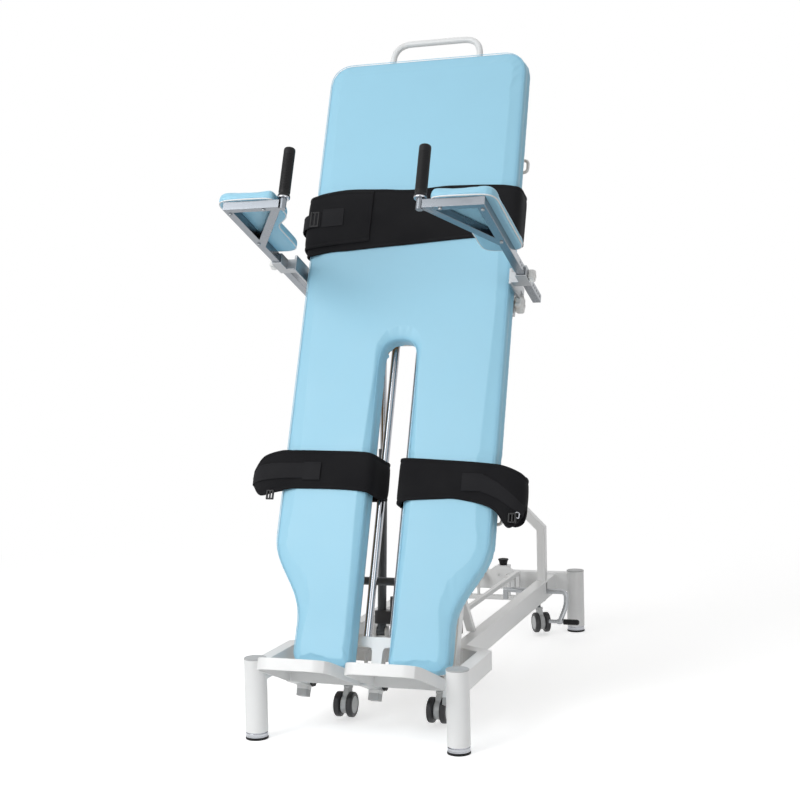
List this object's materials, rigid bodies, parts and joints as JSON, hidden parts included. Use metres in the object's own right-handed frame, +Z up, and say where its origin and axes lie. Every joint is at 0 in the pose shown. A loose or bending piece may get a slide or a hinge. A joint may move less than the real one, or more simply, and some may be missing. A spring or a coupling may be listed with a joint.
{
  "type": "physiotherapy tilt table",
  "caption": "Padded tilting treatment bed with a leg slot, straps, footplates and armrests, on a tube base whose castors a pedal lowers.",
  "frame": {"origin": "on the floor, at the middle of the outline seen from above, with the bed tilted as stored", "axes": "+X to the right seen from the foot end, +Y from the foot end to the head end, +Z up"},
  "size_m": [0.868, 1.8115, 2.1266],
  "materials": {
    "white_paint": "satin",
    "dark_paint": "satin",
    "grey_plastic": "matte",
    "black_plastic": "matte",
    "white_plastic": "satin",
    "black_rubber": "matte",
    "castor_tread": "satin",
    "chrome": "polished",
    "bare_steel": "satin",
    "bronze": "satin",
    "plywood": "matte",
    "blue_vinyl": "satin",
    "black_webbing": "matte"
  },
  "bodies": {
    "base": {"columns": "white_paint", "column_caps": "grey_plastic", "glide_rings": "chrome", "glide_pads": "black_rubber", "front_arms": "white_paint", "front_cross_beam": "white_paint", "side_beams": "white_paint", "mid_cross_tube": "white_paint", "rear_beam": "white_paint", "pivot_frames": "white_paint", "pivot_bushes": "bronze", "rear_arch": "white_paint", "rubber_stops": "black_rubber", "control_box": "black_plastic"},
    "castor_frame": {"castor_beams": "white_paint", "link_bar": "white_paint"},
    "pedal": {"pedal_bar": "bare_steel", "pedal_grip": "black_rubber"},
    "bed": {"side_tubes": "white_paint", "foot_frame": "white_paint", "cross_members": "white_paint", "tube_caps": "black_plastic", "board": "plywood", "pad": "blue_vinyl", "strap_rods": "chrome", "pivot_shaft": "bare_steel", "head_handle": "white_paint", "strap_loops": "white_paint", "side_rails": "bare_steel", "chest_strap": "black_webbing", "chest_buckle": "black_plastic", "knee_strap_left": "black_webbing", "knee_strap_right": "black_webbing"},
    "actuator": {"actuator_tube": "dark_paint", "actuator_motor": "black_plastic"},
    "actuator_rod": {"actuator_rod": "chrome"},
    "castor_fl": {"castor_fork_fl": "grey_plastic"},
    "castor_wheels_fl": {"castor_wheels_fl": "castor_tread"},
    "castor_fr": {"castor_fork_fr": "grey_plastic"},
    "castor_wheels_fr": {"castor_wheels_fr": "castor_tread"},
    "castor_rl": {"castor_fork_rl": "grey_plastic"},
    "castor_wheels_rl": {"castor_wheels_rl": "castor_tread"},
    "castor_rr": {"castor_fork_rr": "grey_plastic"},
    "castor_wheels_rr": {"castor_wheels_rr": "castor_tread"},
    "footplate_left": {"footplate_left": "white_paint"},
    "foot_knob_left": {"foot_knob_left": "black_plastic"},
    "arm_clamp_left": {"arm_clamp_left": "bare_steel"},
    "clamp_knob_left": {"clamp_knob_left": "white_plastic"},
    "armrest_left": {"arm_frame_left": "bare_steel", "arm_cushion_left": "blue_vinyl", "arm_grip_left": "black_rubber"},
    "arm_knob_left": {"arm_knob_left": "white_plastic"},
    "footplate_right": {"footplate_right": "white_paint"},
    "foot_knob_right": {"foot_knob_right": "black_plastic"},
    "arm_clamp_right": {"arm_clamp_right": "bare_steel"},
    "clamp_knob_right": {"clamp_knob_right": "white_plastic"},
    "armrest_right": {"arm_frame_right": "bare_steel", "arm_cushion_right": "blue_vinyl", "arm_grip_right": "black_rubber"},
    "arm_knob_right": {"arm_knob_right": "white_plastic"}
  },
  "joints": [
    {"name": "tilt", "type": "hinge", "parent": "base", "child": "bed", "pos_m": [0, -0.34923, 0.391], "axis": [1, 0, 0], "range_deg": [-69, 4]},
    {"name": "actuator_swing", "type": "hinge", "parent": "base", "child": "actuator", "pos_m": [-0.1, -0.21823, 0.208], "axis": [1, 0, 0], "range_deg": [-75, 6]},
    {"name": "actuator_stroke", "type": "slide", "parent": "actuator", "child": "actuator_rod", "axis": [0, 0.0904, 0.9959], "range_m": [-0.27, 0.02]},
    {"name": "pedal_press", "type": "hinge", "parent": "base", "child": "pedal", "pos_m": [0, 0.70077, 0.18], "axis": [1, 0, 0], "range_deg": [0, 25]},
    {"name": "castor_lift", "type": "slide", "parent": "base", "child": "castor_frame", "axis": [0, 0, 1], "range_m": [-0.025, 0]},
    {"name": "castor_swivel_fl", "type": "hinge", "parent": "castor_frame", "child": "castor_fl", "pos_m": [-0.118, -0.48023, 0.1], "axis": [0, 0, 1], "continuous": true},
    {"name": "castor_roll_fl", "type": "hinge", "parent": "castor_fl", "child": "castor_wheels_fl", "pos_m": [-0.118, -0.50423, 0.0475], "axis": [1, 0, 0], "continuous": true},
    {"name": "castor_swivel_fr", "type": "hinge", "parent": "castor_frame", "child": "castor_fr", "pos_m": [0.17, -0.48023, 0.1], "axis": [0, 0, 1], "continuous": true},
    {"name": "castor_roll_fr", "type": "hinge", "parent": "castor_fr", "child": "castor_wheels_fr", "pos_m": [0.17, -0.50423, 0.0475], "axis": [1, 0, 0], "continuous": true},
    {"name": "castor_swivel_rl", "type": "hinge", "parent": "castor_frame", "child": "castor_rl", "pos_m": [-0.175, 0.79677, 0.1], "axis": [0, 0, 1], "continuous": true},
    {"name": "castor_roll_rl", "type": "hinge", "parent": "castor_rl", "child": "castor_wheels_rl", "pos_m": [-0.187, 0.77598, 0.0475], "axis": [0.866, -0.5, 0], "continuous": true},
    {"name": "castor_swivel_rr", "type": "hinge", "parent": "castor_frame", "child": "castor_rr", "pos_m": [0.175, 0.79677, 0.1], "axis": [0, 0, 1], "continuous": true},
    {"name": "castor_roll_rr", "type": "hinge", "parent": "castor_rr", "child": "castor_wheels_rr", "pos_m": [0.187, 0.77598, 0.0475], "axis": [0.866, 0.5, 0], "continuous": true},
    {"name": "footplate_slide_left", "type": "slide", "parent": "bed", "child": "footplate_left", "axis": [0, 0.3584, 0.9336], "range_m": [-0.02, 0.006]},
    {"name": "foot_knob_turn_left", "type": "hinge", "parent": "footplate_left", "child": "foot_knob_left", "pos_m": [-0.194, -0.56315, 0.12392], "axis": [1, 0, 0], "range_deg": [0, 450]},
    {"name": "footplate_slide_right", "type": "slide", "parent": "bed", "child": "footplate_right", "axis": [0, 0.3584, 0.9336], "range_m": [-0.02, 0.006]},
    {"name": "foot_knob_turn_right", "type": "hinge", "parent": "footplate_right", "child": "foot_knob_right", "pos_m": [0.03, -0.56315, 0.12392], "axis": [1, 0, 0], "range_deg": [0, 450]},
    {"name": "armrest_height_left", "type": "slide", "parent": "bed", "child": "arm_clamp_left", "axis": [0, 0.3584, 0.9336], "range_m": [-0.17, 0]},
    {"name": "clamp_knob_turn_left", "type": "hinge", "parent": "arm_clamp_left", "child": "clamp_knob_left", "pos_m": [-0.335, -0.11588, 1.2933], "axis": [-1, 0, 0], "range_deg": [0, 450]},
    {"name": "armrest_reach_left", "type": "slide", "parent": "arm_clamp_left", "child": "armrest_left", "axis": [0, 0.9336, -0.3584], "range_m": [-0.15, 0.012]},
    {"name": "arm_knob_turn_left", "type": "hinge", "parent": "arm_clamp_left", "child": "arm_knob_left", "pos_m": [-0.411, -0.25769, 1.37452], "axis": [-1, 0, 0], "range_deg": [0, 450]},
    {"name": "armrest_height_right", "type": "slide", "parent": "bed", "child": "arm_clamp_right", "axis": [0, 0.3584, 0.9336], "range_m": [-0.1, 0.07]},
    {"name": "clamp_knob_turn_right", "type": "hinge", "parent": "arm_clamp_right", "child": "clamp_knob_right", "pos_m": [0.335, -0.14096, 1.22795], "axis": [1, 0, 0], "range_deg": [0, 450]},
    {"name": "armrest_reach_right", "type": "slide", "parent": "arm_clamp_right", "child": "armrest_right", "axis": [0, 0.9336, -0.3584], "range_m": [-0.07, 0.105]},
    {"name": "arm_knob_turn_right", "type": "hinge", "parent": "arm_clamp_right", "child": "arm_knob_right", "pos_m": [0.411, -0.28278, 1.30917], "axis": [1, 0, 0], "range_deg": [0, 450]}
  ],
  "couplings": [
    {"joint": "actuator_swing", "follows": "tilt", "ratio": 0.9328},
    {"joint": "actuator_stroke", "follows": "tilt", "m_per_rad": 0.20258},
    {"joint": "pedal_press", "follows": "castor_lift", "rad_per_m": -17.453}
  ]
}
